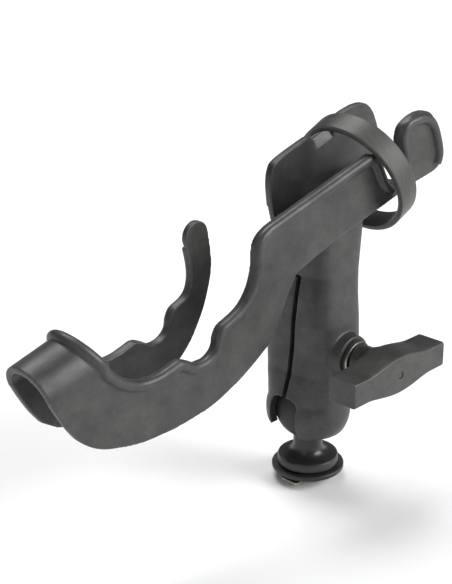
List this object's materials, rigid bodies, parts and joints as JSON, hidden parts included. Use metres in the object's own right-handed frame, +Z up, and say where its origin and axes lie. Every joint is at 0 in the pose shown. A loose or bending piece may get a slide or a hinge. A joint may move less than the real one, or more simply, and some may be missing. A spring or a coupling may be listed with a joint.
{
  "type": "rod holder",
  "caption": "Open-cradle fishing rod holder: hooked hood, forked rim and split latch ring on a knob-clamped ball-and-socket arm with a track base.",
  "frame": {"origin": "centre of the base's underside, on the seat plane", "axes": "+Z up, +X towards the rod tip, -Y towards the clamp knob"},
  "size_m": [0.2873, 0.0983, 0.2103],
  "materials": {
    "composite": "fine moulded texture, glass-filled",
    "ring_plastic": "fine turning lines round the band",
    "nylon": "smooth",
    "ball_rubber": "matt",
    "stainless": "plain",
    "brass": "plain"
  },
  "bodies": {
    "track_bolt": {"t_bolt": "stainless"},
    "ball_base": {"ball_core": "composite", "ball_cover": "ball_rubber", "base_insert": "stainless", "base_flange": "nylon", "base_gasket": "ball_rubber"},
    "arm": {"cradle": "composite", "clamp_spring": "stainless", "wear_washer": "nylon", "clamp_washer": "stainless"},
    "ring": {"latch_ring": "ring_plastic"},
    "knob": {"clamp_knob": "composite", "knob_insert": "brass", "knob_plug": "nylon"},
    "jaw": {"clamp_jaw": "composite", "clamp_bolt": "stainless"}
  },
  "joints": [
    {"name": "base_spin", "type": "hinge", "parent": "track_bolt", "child": "ball_base", "pos_m": [0, 0, 0], "axis": [0, 0, 1], "range_deg": [-180, 180]},
    {"name": "arm_tilt", "type": "hinge", "parent": "ball_base", "child": "arm", "pos_m": [0, 0, 0.0405], "axis": [0, 1, 0], "range_deg": [-25, 70]},
    {"name": "ring_turn", "type": "hinge", "parent": "arm", "child": "ring", "pos_m": [0.0334, 0, 0.16822], "axis": [0.9143, 0, 0.4051], "range_deg": [0, 145]},
    {"name": "knob_turn", "type": "hinge", "parent": "arm", "child": "knob", "pos_m": [0.004, -0.0333, 0.078], "axis": [0, -1, 0], "range_deg": [0, 720]},
    {"name": "jaw_open", "type": "slide", "parent": "arm", "child": "jaw", "axis": [0, 1, 0], "range_m": [0, 0.0026]}
  ],
  "couplings": [
    {"joint": "jaw_open", "follows": "knob_turn", "m_per_rad": 0.00019894}
  ]
}
